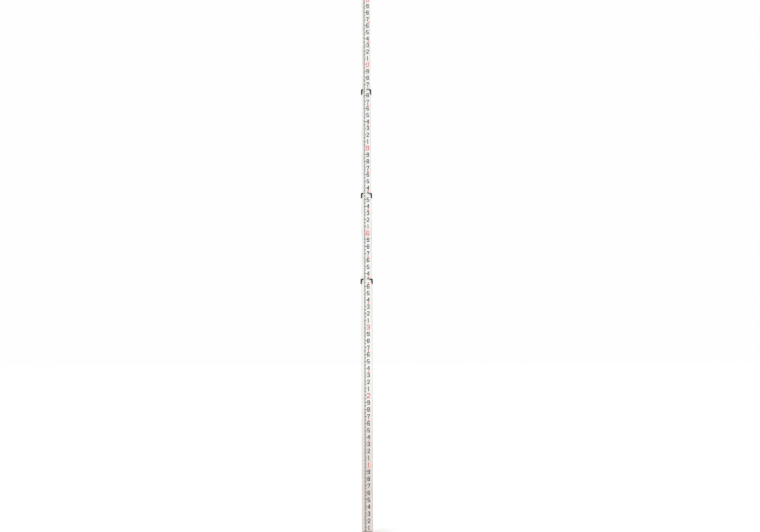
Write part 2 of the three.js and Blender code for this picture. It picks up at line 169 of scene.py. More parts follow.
ENAMEL = colour(0.93, 0.925, 0.905)
ENAMEL_SHADE = colour(0.885, 0.875, 0.85)
GRIME = colour(0.62, 0.54, 0.47)
# colour of the painted shade that darkens the enamel near the foot
FOOT_PAINTED_SHADE = colour(0.74, 0.665, 0.62)
ALUMINIUM = colour(0.84, 0.72, 0.66)
ALUMINIUM_DARK = colour(0.63, 0.53, 0.475)
# painted shade: the colour the bare metal darkens to at the foot of the rod
ALUMINIUM_PAINTED_SHADE = colour(0.46, 0.38, 0.335)
ALUMINIUM_PALE = colour(0.9, 0.85, 0.8)
# warm tint of the worn edges, which is also painted shade along the corners and channel slopes
EDGE_WEAR_AND_SHADE = colour(0.66, 0.56, 0.48)
PAINTED_SHADE_TOP = 0.75                  # height at which the painted shade near the foot has gone
PAINTED_SHADE_FULL = 0.2                  # height below which it is even


def enamel_colour(shade):
    """White enamel with faint cloudiness, scuffs from sliding, and painted shade that darkens it
    near the foot.
    """
    clouds = shade.range(shade.noise(9, 4), 0.4, 0.7)
    white = shade.mix(clouds, ENAMEL, ENAMEL_SHADE)
    streaks = shade.noise(1, 5, 0.6, shade.stretched(900, 900, 7))
    scuffs = shade.range(streaks, 0.66, 0.74, 0, 0.35)
    white = shade.mix(scuffs, white, GRIME)
    specks = shade.range(shade.cells(260), 0.07, 0.03, 0, 0.3)
    white = shade.mix(specks, white, GRIME)
    height = shade.axes(shade.place)[2]
    # painted shade: the enamel darkens towards the foot, standing in for less light reaching it
    # there
    foot_painted_shade = shade.range(height, PAINTED_SHADE_TOP, PAINTED_SHADE_FULL)
    uneven = shade.range(shade.noise(30, 5), 0.3, 0.7, 0.75, 1)
    return shade.mix(shade.math("MULTIPLY", foot_painted_shade, uneven), white, FOOT_PAINTED_SHADE)


def aluminium_colour(shade, lines):
    """Extruded aluminium: lengthwise drawing lines, die bands and a few dull patches."""
    drawn = shade.mix(shade.range(lines, 0.35, 0.65), ALUMINIUM_DARK, ALUMINIUM)
    bands = shade.noise(1, 2, 0.5, shade.stretched(160, 160, 0.4))
    drawn = shade.mix(shade.range(bands, 0.3, 0.7, 0, 0.45), drawn, ALUMINIUM_DARK)
    patches = shade.range(shade.noise(14, 5), 0.5, 0.75, 0, 0.5)
    return shade.mix(patches, drawn, ALUMINIUM_DARK)


def corner_mask(shade):
    """1 on the rounded corners and sloping edges of a tube, which face between X and Y."""
    x, y, _ = shade.axes(shade.coordinates.outputs["Normal"])
    across = shade.math("ABSOLUTE", shade.math("MULTIPLY", x, y))
    return shade.range(across, 0.2, 0.45)


def enamelled_tube():
    shade = Shade("enamelled_tube")
    worn = shade.range(shade.noise(1, 4, 0.6, shade.stretched(420, 420, 30)), 0.46, 0.7)
    # bare metal worn through at the corners and channel slopes; its warm tint there is also
    # painted shade along those edges
    worn_edge_and_shade = shade.math("MULTIPLY", corner_mask(shade), worn)
    lines = shade.noise(1, 4, 0.6, shade.stretched(2600, 2600, 5))
    metal = shade.mix(0.25, EDGE_WEAR_AND_SHADE, aluminium_colour(shade, lines))
    dull = shade.range(shade.noise(60, 4), 0.3, 0.7, 0.24, 0.42)
    waves = shade.math("ADD", shade.noise(700, 2), shade.math("MULTIPLY", lines, 0.3))
    shade.set(
        Base_Color=shade.mix(worn_edge_and_shade, enamel_colour(shade), metal),
        Metallic=shade.math("MULTIPLY", worn_edge_and_shade, 0.8),
        Roughness=dull,
        Coat_Weight=0.25,
        Coat_Roughness=0.12,
        Normal=shade.bump(waves, 0.12, 0.00008),
    )
    return shade.material


def lowest_tube():
    """Bare extruded aluminium, with enamel over the whole of its front."""
    shade = Shade("lowest_tube")
    x, y, height = shade.axes(shade.place)
    forward = shade.axes(shade.coordinates.outputs["Normal"])[1]
    face = shade.range(forward, -0.55, -0.75)

    lines = shade.noise(1, 5, 0.65, shade.stretched(2400, 2400, 4))
    metal = aluminium_colour(shade, lines)
    # painted shade: the bare metal darkens from the top of the lowest section down to the floor
    bottom_painted_shade = shade.range(height, TUBE_BOXES[1][1].z, 0, 0, 0.8)
    metal = shade.mix(bottom_painted_shade, metal, ALUMINIUM_PAINTED_SHADE)
    channel_edge = BACK_CHANNELS[1] / 2
    outside = shade.range(shade.math("ABSOLUTE", x), channel_edge, channel_edge + RECESS)
    behind = shade.math("GREATER_THAN", y, back_floor(1) - RECESS)
    rails = shade.math("MULTIPLY", outside, behind)
    metal = shade.mix(shade.math("MULTIPLY", rails, 0.8), metal, ALUMINIUM_PALE)
    scratches = shade.range(shade.noise(1, 6, 0.7, shade.stretched(500, 500, 22)), 0.68, 0.72)
    metal = shade.mix(shade.math("MULTIPLY", scratches, 0.5), metal, colour(0.85, 0.8, 0.76))

    satin = shade.range(lines, 0.3, 0.7, 0.3, 0.46)
    dull = shade.range(shade.noise(60, 4), 0.3, 0.7, 0.26, 0.42)
    shade.set(
        Base_Color=shade.mix(face, metal, enamel_colour(shade)),
        Metallic=shade.math("SUBTRACT", 0.9, shade.math("MULTIPLY", face, 0.9)),
        Roughness=shade.math("ADD", shade.math("MULTIPLY", face, dull),
                             shade.math("MULTIPLY", shade.math("SUBTRACT", 1, face), satin)),
        Normal=shade.bump(lines, 0.2, 0.00008),
    )
    return shade.material


def ink(name, full, thin):
    """Printed ink: a little thinner in places, with pin-prick wear."""
    shade = Shade(name)
    body = shade.mix(shade.range(shade.noise(400, 4), 0.45, 0.75), full, thin)
    pricks = shade.range(shade.cells(900), 0.09, 0.05, 0, 0.5)
    shade.set(
        Base_Color=shade.mix(pricks, body, ENAMEL_SHADE),
        Roughness=shade.range(shade.noise(150), 0.3, 0.7, 0.5, 0.65),
        Specular_IOR_Level=0.12,
        Normal=shade.bump(shade.noise(1800), 0.1, 0.00003),
    )
    return shade.material


def moulded(name, base, scuffed, roughness, gloss=0.0):
    """Moulded plastic with a spark-eroded grain, handling marks and paler edges."""
    shade = Shade(name)
    grain = shade.noise(2600, 2, 0.5)
    rubs = shade.noise(1, 6, 0.7, shade.stretched(220, 220, 60))
    marks = shade.range(rubs, 0.6, 0.74, 0, 0.5)
    edges = shade.math("MULTIPLY", shade.rounded_edges(0.0006), shade.range(rubs, 0.4, 0.6))
    body = shade.mix(marks, base, scuffed)
    body = shade.mix(shade.math("MULTIPLY", edges, 0.7), body, scuffed)
    shade.set(
        Base_Color=body,
        Roughness=shade.range(shade.noise(90, 4), 0.3, 0.7, roughness - 0.08, roughness + 0.1),
        Specular_IOR_Level=0.25,
        Coat_Weight=gloss,
        Coat_Roughness=0.08,
        Normal=shade.bump(grain, 0.35 - 0.3 * gloss, 0.00006),
    )
    return shade.material


def worn_metal(name, base, bright, metallic, roughness, wear):
    """Finished metal: blotchy colour, fine scratches, and edges worn to a brighter tone."""
    shade = Shade(name)
    blotches = shade.range(shade.noise(240, 5, 0.65), 0.35, 0.7)
    dark = colour(base[0] * 0.62, base[1] * 0.62, base[2] * 0.62)
    body = shade.mix(blotches, base, dark)
    scratch = shade.range(shade.noise(1, 6, 0.75, shade.stretched(1500, 1500, 160)), 0.62, 0.7)
    edge = shade.rounded_edges(0.0008)
    rubbed = shade.range(shade.noise(300, 5), 0.35, 0.6, 0.2, 1)
    shown = shade.math("MAXIMUM", shade.math("MULTIPLY", edge, rubbed),
                       shade.math("MULTIPLY", scratch, 0.5))
    shown = shade.math("MULTIPLY", shown, wear)
    shade.set(
        Base_Color=shade.mix(shown, body, bright),
        Metallic=metallic,
        Roughness=shade.range(shade.noise(500, 4), 0.3, 0.7, roughness - 0.1, roughness + 0.12),
        Normal=shade.bump(shade.noise(1400, 4), 0.25, 0.00006),
    )
    return shade.material


def floor_surface():
    shade = Shade("floor_surface")
    clouds = shade.range(shade.noise(1.3, 5), 0.3, 0.7)
    shade.set(
        Base_Color=shade.mix(clouds, colour(0.98, 0.98, 0.98), colour(0.95, 0.95, 0.95)),
        Roughness=shade.range(shade.noise(40, 3), 0.3, 0.7, 0.6, 0.75),
        Normal=shade.bump(shade.noise(120, 3), 0.05, 0.0005),
    )
    return shade.material


BLACK_INK = ink("black_ink", colour(0.008, 0.008, 0.009), colour(0.03, 0.03, 0.032))
RED_INK = ink("red_ink", colour(0.74, 0.012, 0.018), colour(0.82, 0.06, 0.05))
BLACK_PLASTIC = moulded("black_plastic_moulded", colour(0.011, 0.011, 0.013),
                        colour(0.07, 0.068, 0.066), 0.46)
GREY_NYLON = moulded("grey_nylon_moulded", colour(0.05, 0.05, 0.055),
                     colour(0.12, 0.12, 0.12), 0.55)
RED_PLASTIC = moulded("red_plastic_moulded", colour(0.55, 0.03, 0.025),
                      colour(0.68, 0.16, 0.12), 0.32, 0.4)
ORANGE_PLASTIC = moulded("orange_plastic_moulded", colour(0.82, 0.09, 0.045),
                         colour(0.9, 0.3, 0.2), 0.26, 0.8)
BRONZE = worn_metal("bronze_shoe_metal", colour(0.25, 0.175, 0.135),
                    colour(0.5, 0.42, 0.34), 0.45, 0.42, 0.9)
ZINC = worn_metal("zinc_plated_steel", colour(0.6, 0.6, 0.58),
                  colour(0.8, 0.8, 0.8), 1.0, 0.3, 0.5)
SPRING_WIRE_STEEL = worn_metal("spring_wire_steel", colour(0.34, 0.35, 0.38),
                               colour(0.6, 0.6, 0.62), 1.0, 0.25, 0.5)
ENAMELLED_TUBE = enamelled_tube()
LOWEST_TUBE = lowest_tube()

# ---- Finish of the CAD nodes ----------------------------------------------------------

SLOT_MATERIALS = {
    "bare_aluminium": LOWEST_TUBE,
    "white_enamel": ENAMELLED_TUBE,
    "black_plastic": BLACK_PLASTIC,
    "grey_nylon": GREY_NYLON,
    "red_plastic": RED_PLASTIC,
    "orange_insert": ORANGE_PLASTIC,
    "bronze_shoe": BRONZE,
    "rivet_steel": ZINC,
    "screw_steel": ZINC,
    "spring_steel": SPRING_WIRE_STEEL,
}
EDGE_RADII = {
    "bare_aluminium": 0.12 * MM,
    "white_enamel": 0.12 * MM,
    "black_plastic": 0.3 * MM,
    "grey_nylon": 0.25 * MM,
    "red_plastic": 0.2 * MM,
    "bronze_shoe": 0.45 * MM,
}
SMOOTH_BELOW = math.radians(32)  # edges flatter than this are shaded as one surface
FLAT_BELOW = math.radians(0.5)   # faces that turn less than this are joined
WELD = 0.002 * MM                # points nearer than this are one
BEVEL_SEGMENTS = 2


def smoothing_nodes():
    """A modifier's node group: joins the loose triangles and smooths the curved faces."""
    group = bpy.data.node_groups.new("joined_and_smoothed", "GeometryNodeTree")
    group.interface.new_socket("Geometry", in_out="INPUT", socket_type="NodeSocketGeometry")
    group.interface.new_socket("Geometry", in_out="OUTPUT", socket_type="NodeSocketGeometry")
    add = group.nodes.new
    link = group.links.new
    start = add("NodeGroupInput")
    plain = add("GeometryNodeRemoveAttribute")
    plain.inputs["Name"].default_value = "custom_normal"
    joined = add("GeometryNodeMergeByDistance")
    joined.inputs["Distance"].default_value = WELD
    faces = add("GeometryNodeSetShadeSmooth")
    angle = add("GeometryNodeInputMeshEdgeAngle")
    flat = add("FunctionNodeCompare")
    flat.operation = "LESS_THAN"
    flat.inputs[1].default_value = SMOOTH_BELOW
    edges = add("GeometryNodeSetShadeSmooth")
    edges.domain = "EDGE"
    end = add("NodeGroupOutput")
    link(start.outputs[0], plain.inputs["Geometry"])
    link(plain.outputs[0], joined.inputs["Geometry"])
    link(joined.outputs[0], faces.inputs["Geometry"])
    link(faces.outputs[0], edges.inputs["Geometry"])
    link(angle.outputs[0], flat.inputs[0])
    link(flat.outputs[0], edges.inputs["Shade Smooth"])
    link(edges.outputs[0], end.inputs[0])
    return group


SMOOTHING = smoothing_nodes()


def soften(piece, radius=0.0):
    """Joins and smooths a piece, and rounds its sharp edges."""
    smooth = piece.modifiers.new("smoothed", "NODES")
    smooth.node_group = SMOOTHING
    if radius:
        plain = piece.modifiers.new("flat_faces_joined", "DECIMATE")
        plain.decimate_type = "DISSOLVE"
        plain.angle_limit = FLAT_BELOW
        bevel = piece.modifiers.new("rounded", "BEVEL")
        bevel.width = radius
        bevel.segments = BEVEL_SEGMENTS
        bevel.limit_method = "ANGLE"
        bevel.angle_limit = SMOOTH_BELOW
        bevel.harden_normals = True


def finish_node(name, slot):
    node = frame["nodes"][name]
    node.data.materials.clear()
    node.data.materials.append(SLOT_MATERIALS[slot])
    soften(node, EDGE_RADII.get(slot, 0))


for subpart in frame["record"]["subparts"]:
    finish_node(subpart["node"], subpart["material_slot"])

# ---- Printed marks --------------------------------------------------------------------

INK_DEPTH = 0.08 * MM
MARK_LEFT = -11.9 * MM           # left ends of the bars from the middle of the face
BAR = 6.4 * MM                   # length of a plain bar
HALF_BAR = 9.6 * MM              # longest edge of the bar below each twentieth
TENTH_BAR = 12.2 * MM
FOOT_BAR = 10.4 * MM
BAR_TAPER = 2.6 * MM             # how much shorter the other edge of a long bar is
BAR_HEIGHT = HUNDREDTH           # so each edge of a bar is at a reading
NUMERAL_LEFT = 1.3 * MM
NUMERAL_WIDTH = 11.2 * MM
NUMERAL_HEIGHT = 19.5 * MM
NUMERAL_STROKE = 3 * MM
FOOT_NUMERAL_HEIGHT = 21.8 * MM
FOOT_NUMERAL_LEFT = -0.6 * MM
FOOT_NUMERAL_RIGHT = 13 * MM
NUMERAL_GAP = 1.4 * MM
THICKEST_STROKE = 0.36           # of a numeral's width
REPEAT_HEIGHT = 8.6 * MM
REPEAT_WIDTH = 5.6 * MM
REPEAT_STROKE = 1.7 * MM
REPEAT_LEFT = 4.6 * MM
TWO_DIGITS = 1.7                 # width of a small number from 10 up, against one numeral
REPEAT_SHARES = (0.35, 0.65)     # places in each foot of its number's small repeats
DOT_WIDTH = 6 * MM
DOT_HEIGHT = 5 * MM
DASH_LENGTH = 9 * MM
DASH_HEIGHT = 3 * MM
DASH_INSET = 0.5 * MM            # from a dash's end to the edge of the sunk face
END_MARGIN = 1.5 * MM
CORNER_STEPS = 3
PRINT_WELD = 0.001 * MM          # points of the print nearer than this are one
FRONT_LIP_TOP = 13 * MM          # height of the shoe's lip, which the print stays above
HOLE_CLEARANCE = 11 * MM
HOLE_DROPS = {2: 70 * MM, 3: 60 * MM, 4: 190 * MM}  # lock holes below their tubes' mouths


def round_corners(outline):
    """An outline's points. A point with a third number has its corner rounded by that much."""
    points = []
    for index, point in enumerate(outline):
        here = Vector(point[:2])
        if len(point) == 2:
            points.append(here)
            continue
        before = Vector(outline[index - 1][:2])
        after = Vector(outline[(index + 1) % len(outline)][:2])
        start = here + (before - here).normalized() * point[2]
        end = here + (after - here).normalized() * point[2]
        for step in range(CORNER_STEPS + 1):
            share = step / CORNER_STEPS
            points.append(start.lerp(here, share).lerp(here.lerp(end, share), share))
    return points


def numeral(digit, w, h, s):
    """Outlines of a block numeral w wide and h high with strokes s wide, the outer first."""
    c = 0.75 * s                     # rounding of an outer corner
    i = 0.25 * s                     # rounding of an inner corner
    m = h / 2
    low, high = m - s / 2, m + s / 2
    hook = 0.1 * h                   # length of a free end
    waist = 0.3 * s
    upper_eye = [(s, high, i), (w - s, high, i), (w - s, h - s, i), (s, h - s, i)]
    lower_eye = [(s, s, i), (w - s, s, i), (w - s, low, i), (s, low, i)]
    top_hook = [(w, h, c), (0, h, c), (0, h - s - hook), (s, h - s - hook), (s, h - s, i)]
    bottom_hook = [(s, s, i), (s, s + hook), (0, s + hook), (0, 0, c)]
    right_waist = [(w, m - waist), (w - waist, m), (w, m + waist)]
    left_waist = [(0, m + waist), (waist, m), (0, m - waist)]
    foot = 0.6 * s
    stem = w / 2 - s / 2
    bar = 0.26 * h                   # height of the crossbar of a four
    shapes = {
        0: [[(0, 0, c), (w, 0, c), (w, h, c), (0, h, c)],
            [(s, s, i), (w - s, s, i), (w - s, h - s, i), (s, h - s, i)]],
        1: [[(stem - foot, 0), (stem + s + foot, 0), (stem + s + foot, foot), (stem + s, foot),
             (stem + s, h), (stem + 0.3 * s, h), (stem - foot, h - 0.9 * s),
             (stem - foot, h - 1.6 * s), (stem, h - 1.3 * s), (stem, foot), (stem - foot, foot)]],
        2: [[(0, 0), (w, 0), (w, s), (1.35 * s, s), (w, m + 0.3 * s), *top_hook,
             (w - s, h - s, i), (w - s, m + 0.7 * s), (0, 1.15 * s)]],
        3: [[(w, 0, c), *right_waist, *top_hook, (w - s, h - s, i), (w - s, high, i),
             (1.2 * s, high), (1.2 * s, low), (w - s, low, i), (w - s, s, i), *bottom_hook]],
        4: [[(w - 1.3 * s, 0), (w - 0.3 * s, 0), (w - 0.3 * s, bar), (w, bar), (w, bar + s),
             (w - 0.3 * s, bar + s), (w - 0.3 * s, h), (w - 1.5 * s, h), (0, bar + s), (0, bar),
             (w - 1.3 * s, bar)],
            [(1.05 * s, bar + s), (w - 1.3 * s, bar + s), (w - 1.3 * s, h - 1.7 * s)]],
        5: [[(w, 0, c), (w, high, c), (s, high), (s, h - s), (w - 0.2 * s, h - s),
             (w - 0.2 * s, h), (0, h), (0, low), (w - s, low, i), (w - s, s, i), *bottom_hook]],
        6: [[(0, 0, c), (w, 0, c), (w, high, c), (s, high), (s, h - s, i), (w - s, h - s, i),
             (w - s, h - s - hook), (w, h - s - hook), (w, h, c), (0, h, c)], lower_eye],
        7: [[(0, h), (w, h), (w, h - 1.2 * s), (0.52 * w, 0), (0.52 * w - 1.05 * s, 0),
             (w - 1.2 * s, h - s), (0.8 * s, h - s), (0.8 * s, h - 1.9 * s), (0, h - 1.9 * s)]],
        8: [[(0, 0, c), (w, 0, c), *right_waist, (w, h, c), (0, h, c), *left_waist],
            upper_eye, lower_eye],
        9: [[(w, h, c), (0, h, c), (0, low, c), (w - s, low), (w - s, s, i), (s, s, i),
             (s, s + hook), (0, s + hook), (0, 0, c), (w, 0, c)], upper_eye],
    }
    return [round_corners(loop) for loop in shapes[digit]]


def moved(loops, x, z):
    return [[(point[0] + x, point[1] + z) for point in loop] for loop in loops]


def rectangle(left, right, bottom, top):
    return [[(left, bottom), (right, bottom), (right, top), (left, top)]]


def numeral_row(number, left, right, height, stroke, z):
    """The numerals of a whole number side by side, centred on z."""
    digits = [int(character) for character in str(number)]
    width = (right - left - NUMERAL_GAP * (len(digits) - 1)) / len(digits)
    stroke = min(stroke, THICKEST_STROKE * width)
    loops = []
    for place, digit in enumerate(digits):
        x = left + place * (width + NUMERAL_GAP)
        loops.append(moved(numeral(digit, width, height, stroke), x, z - height / 2))
    return loops


def printed_range(section):
    """First and last height of a section's print, clear of the shoe's lip and of the mouth."""
    low = max(height_of(section, TOP_READINGS[section - 1]), FRONT_LIP_TOP)
    return low + END_MARGIN, TUBE_BOXES[section][1].z - END_MARGIN


def readings(section, parts):
    """The readings on a section, counted in parts of a foot."""
    first = math.floor(TOP_READINGS[section - 1] * parts)
    last = math.ceil(TOP_READINGS[section] * parts)
    return range(first, last + 1)


def fits(section, middle, height):
    low, high = printed_range(section)
    return low < middle - height / 2 and middle + height / 2 < high


def bar_ends(hundredth):
    """Where the lower and the upper edge of the bar below a reading end."""
    step = (hundredth - 1) % 10 + 1
    if hundredth % 100 == 0:
        return MARK_LEFT + FOOT_BAR - BAR_TAPER, MARK_LEFT + FOOT_BAR
    if step == 10:
        return MARK_LEFT + TENTH_BAR - BAR_TAPER, MARK_LEFT + TENTH_BAR
    if step == 6:
        return MARK_LEFT + HALF_BAR, MARK_LEFT + HALF_BAR - BAR_TAPER
    return MARK_LEFT + BAR, MARK_LEFT + BAR


def bars(section):
    """A section's bars, one below every second hundredth of a foot."""
    plates = []
    for hundredth in readings(section, 100):
        middle = height_of(section, hundredth / 100) - HUNDREDTH / 2
        if hundredth % 2 or not fits(section, middle, BAR_HEIGHT):
            continue
        bottom, top = middle - BAR_HEIGHT / 2, middle + BAR_HEIGHT / 2
        lower_end, upper_end = bar_ends(hundredth)
        plates.append([[(MARK_LEFT, bottom), (lower_end, bottom),
                        (upper_end, top), (MARK_LEFT, top)]])
    return plates


def tenth_numerals(section):
    """The black numerals of the tenths, and the red ones of the feet."""
    black, red = [], []
    for tenth in readings(section, 10):
        z = height_of(section, tenth / 10) - HUNDREDTH / 2
        if not fits(section, z, FOOT_NUMERAL_HEIGHT):
            continue
        if tenth % 10:
            black += numeral_row(tenth % 10, NUMERAL_LEFT, NUMERAL_LEFT + NUMERAL_WIDTH,
                                 NUMERAL_HEIGHT, NUMERAL_STROKE, z)
        else:
            red += numeral_row(tenth // 10, FOOT_NUMERAL_LEFT, FOOT_NUMERAL_RIGHT,
                               FOOT_NUMERAL_HEIGHT, NUMERAL_STROKE, z)
    return black, red


def repeated_numerals(section):
    """Small red repeats of the number of the foot below."""
    red = []
    for foot in readings(section, 1):
        for share in REPEAT_SHARES:
            z = height_of(section, foot + share) - HUNDREDTH / 2
            if foot > 0 and fits(section, z, REPEAT_HEIGHT):
                width = REPEAT_WIDTH * (1 if foot < 10 else TWO_DIGITS)
                red += numeral_row(foot, REPEAT_LEFT, REPEAT_LEFT + width,
                                   REPEAT_HEIGHT, REPEAT_STROKE, z)
    return red


def dot(z):
    x = DOT_WIDTH / 2
    y = DOT_HEIGHT / 2
    corner = 0.9 * y
    return [round_corners([(-x, z - y, corner), (x, z - y, corner),
                           (x, z + y, corner), (-x, z + y, corner)])]


def back_marks(section):
    """A dot at each tenth of an upper section's back, and a dash beside it at each foot."""
    hole = TUBE_BOXES[section][1].z - HOLE_DROPS.get(section, 0)
    plates = []
    for tenth in readings(section, 10):
        z = height_of(section, tenth / 10)
        if not fits(section, z, 2 * DOT_HEIGHT) or abs(z - hole) < HOLE_CLEARANCE:
            continue
        plates.append(dot(z))
        if tenth % 10 == 0:
            end = BACK_CHANNELS[section] / 2 - DASH_INSET
            plates.append(rectangle(end - DASH_LENGTH + DOT_WIDTH / 2, end,
                                    z - DASH_HEIGHT / 2, z + DASH_HEIGHT / 2))
    return plates


def add_flat(mesh, loops, y, turn):
    """One printed shape as flat faces at y. turn is -1 where x runs the other way."""
    flat = [[Vector((x, z, 0)) for x, z in loop] for loop in loops]
    points = [mesh.verts.new((turn * point.x, y, point.y)) for loop in flat for point in loop]
    for triangle in tessellate_polygon(flat):
        mesh.faces.new([points[index] for index in triangle])


def new_piece(name, mesh, material, body):
    """A finished mesh as a piece that rides on a body."""
    bmesh.ops.recalc_face_normals(mesh, faces=mesh.faces)
    data = bpy.data.meshes.new(name)
    mesh.to_mesh(data)
    mesh.free()
    data.materials.append(material)
    piece = bpy.data.objects.new(name, data)
    bpy.context.scene.collection.objects.link(piece)
    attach(piece, body)
    return piece


def printed_piece(name, plates, y, outward, section, material):
    """Printed shapes on the face at y, thickened outward: -1 for a front, 1 for a back."""
    mesh = bmesh.new()
    for loops in plates:
        add_flat(mesh, loops, y, -outward)
    bmesh.ops.remove_doubles(mesh, verts=mesh.verts, dist=PRINT_WELD)
    grown = bmesh.ops.extrude_face_region(mesh, geom=mesh.faces[:], use_keep_orig=True)
    raised = [item for item in grown["geom"] if isinstance(item, bmesh.types.BMVert)]
    bmesh.ops.translate(mesh, verts=raised, vec=(0, outward * INK_DEPTH, 0))
    new_piece(name, mesh, material, BODIES[section])


def print_section(section):
    black, red = tenth_numerals(section)
    black += bars(section)
    red += repeated_numerals(section)
    front = front_floor(section)
    printed_piece(f"front_black_{section}", black, front, -1, section, BLACK_INK)
    printed_piece(f"front_red_{section}", red, front, -1, section, RED_INK)
    if section > 1:
        printed_piece(f"back_dots_{section}", back_marks(section), back_floor(section), 1,
                      section, BLACK_INK)


for number in SECTIONS:
    print_section(number)

# ---- Fasteners ------------------------------------------------------------------------

ROUND_STEPS = 24                 # points round a turned piece
SCREW_HEAD = 3 * MM              # radii
SCREW_SHANK = 1.5 * MM
SCREW_ROOT = 1.2 * MM
SHOE_SCREW_HEAD = 4 * MM
SHOE_SCREW_SHANK = 2 * MM
SHOE_SCREW_ROOT = 1.65 * MM
SHOE_SCREW_HEAD_HEIGHT = 2.2 * MM
RIVET_HEAD = 2.8 * MM
RIVET_SHANK = 1.5 * MM
RIVET_EYE = 0.95 * MM            # opening in the head, with the broken pin inside
RIVET_PIN = 0.75 * MM
RIVET_HEAD_HEIGHT = 1 * MM
THREAD_PITCH = 0.7 * MM
SHANK_CLEARANCE = 0.15 * MM      # between a head's underside and what it holds down
DOME_ARC = [math.radians(angle) for angle in (0, 18, 36, 54, 72)]  # rings of a domed head


def circle(radius):
    turns = [2 * math.pi * step / ROUND_STEPS for step in range(ROUND_STEPS)]
    return [(radius * math.cos(turn), radius * math.sin(turn)) for turn in turns]


def cross(reach, half):
    """A cross with arms 2 half wide, which has a point for each point of a circle."""
    middle = (reach + half) / 2
    arm = [(reach, 0), (reach, half), (middle, half), (half, half), (half, middle), (half, reach)]
    points = list(arm)
    for _ in range(3):
        arm = [(-y, x) for x, y in arm]
        points += arm
    return points


def ring_mesh(rings, origin, outward):
    """A closed mesh through rings, each its distance along outward and its points."""
    across = Vector((0, 0, 1)).cross(outward)
    mesh = bmesh.new()
    loops = []
    for distance, points in rings:
        middle = origin + outward * distance
        spots = [middle + across * x + Vector((0, 0, y)) for x, y in points]
        loops.append([mesh.verts.new(spot) for spot in spots])
    for lower, upper in zip(loops, loops[1:]):
        for index in range(ROUND_STEPS):
            after = (index + 1) % ROUND_STEPS
            mesh.faces.new((lower[index], lower[after], upper[after], upper[index]))
    mesh.faces.new(loops[0])
    mesh.faces.new(loops[-1])
    return mesh


def thread(start, end, crest, root):
    """Rings of a thread from its tip to the plain neck below the head."""
    rings = [(start, circle(0.7 * root)), (start + 0.5 * THREAD_PITCH, circle(root))]
    count = int((end - start) / THREAD_PITCH) - 1
    for turn in range(1, count + 1):
        rings.append((start + turn * THREAD_PITCH, circle(crest)))
        rings.append((start + (turn + 0.5) * THREAD_PITCH, circle(root)))
    return rings


def recess(face, head):
    """Rings of a cross recess sunk in a head's face."""
    return [
        (face, cross(0.62 * head, 0.13 * head)),
        (face - 0.1 * head, cross(0.58 * head, 0.11 * head)),
        (face - 0.5 * head, cross(0.26 * head, 0.07 * head)),
    ]


def countersunk_rings(length):
    """A countersunk screw whose face is at 0 and whose tip is at -length."""
    neck = SCREW_SHANK - SCREW_HEAD
    return [
        *thread(-length, neck, SCREW_SHANK, SCREW_ROOT),
        (neck, circle(SCREW_SHANK)),
        (-0.12 * MM, circle(SCREW_HEAD - 0.1 * MM)),
        (-0.04 * MM, circle(SCREW_HEAD)),
        (0, circle(SCREW_HEAD - 0.08 * MM)),
        (0, circle(0.7 * SCREW_HEAD)),
        *recess(0, SCREW_HEAD),
    ]


def pan_head_rings(length):
    """The shoe's screw, with the top of its head at 0."""
    under = SHANK_CLEARANCE - SHOE_SCREW_HEAD_HEIGHT
    rings = [
        *thread(-length, under, SHOE_SCREW_SHANK, SHOE_SCREW_ROOT),
        (under, circle(SHOE_SCREW_SHANK)),
        (under, circle(SHOE_SCREW_HEAD - 0.15 * MM)),
        (under + 0.15 * MM, circle(SHOE_SCREW_HEAD)),
    ]
    rise = 0.45 * SHOE_SCREW_HEAD_HEIGHT
    for turn in DOME_ARC:
        radius = SHOE_SCREW_HEAD - rise * (1 - math.cos(turn))
        rings.append((rise * (math.sin(turn) - 1), circle(radius)))
    rings.append((0, circle(0.72 * SHOE_SCREW_HEAD)))
    return rings + recess(0, SHOE_SCREW_HEAD)


def rivet_rings(length):
    """A blind rivet with the top of its head at 0: a domed head round a broken pin."""
    under = SHANK_CLEARANCE - RIVET_HEAD_HEIGHT
    rise = -under - 0.2 * MM
    rings = [
        (-length, circle(RIVET_SHANK - 0.2 * MM)),
        (0.2 * MM - length, circle(RIVET_SHANK)),
        (under, circle(RIVET_SHANK)),
        (under, circle(RIVET_HEAD - 0.08 * MM)),
        (under + 0.08 * MM, circle(RIVET_HEAD)),
    ]
    for turn in DOME_ARC:
        radius = RIVET_EYE + (RIVET_HEAD - RIVET_EYE) * math.cos(turn)
        rings.append((rise * (math.sin(turn) - 1), circle(radius)))
    return rings + [
        (0, circle(RIVET_EYE + 0.1 * MM)),
        (-0.1 * MM, circle(RIVET_EYE)),
        (-0.75 * MM, circle(RIVET_EYE)),
        (-0.75 * MM, circle(RIVET_PIN)),
        (-0.45 * MM, circle(RIVET_PIN)),
        (-0.4 * MM, circle(0.8 * RIVET_PIN)),
    ]


def fasten(node, rings_for, outward, body):
    """A fastener in the place of its node, with its head on the outward side."""
    low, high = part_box(node)
    middle = (low + high) / 2
    half = (high - low) / 2
    reach = max(abs(half.x * outward.x), abs(half.y * outward.y))
    mesh = ring_mesh(rings_for(2 * reach), middle + outward * reach, outward)
    piece = new_piece(f"{node}_detailed", mesh, ZINC, body)
    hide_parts(node)
    soften(piece)


def fasten_sides(stem, rings_for, section):
    fasten(f"{stem}_left", rings_for, Vector((-1, 0, 0)), BODIES[section])
    fasten(f"{stem}_right", rings_for, Vector((1, 0, 0)), BODIES[section])


for number in SECTIONS[:-1]:
    fasten_sides(f"collar_rivet_{number}", rivet_rings, number)
for number in SECTIONS[1:]:
    fasten_sides(f"plug_screw_{number}", countersunk_rings, number)
fasten_sides("cap_screw", countersunk_rings, 5)
fasten("foot_screw", pan_head_rings, Vector((0, 1, 0)), BODIES[1])

# ---- Lock springs ---------------------------------------------------------------------

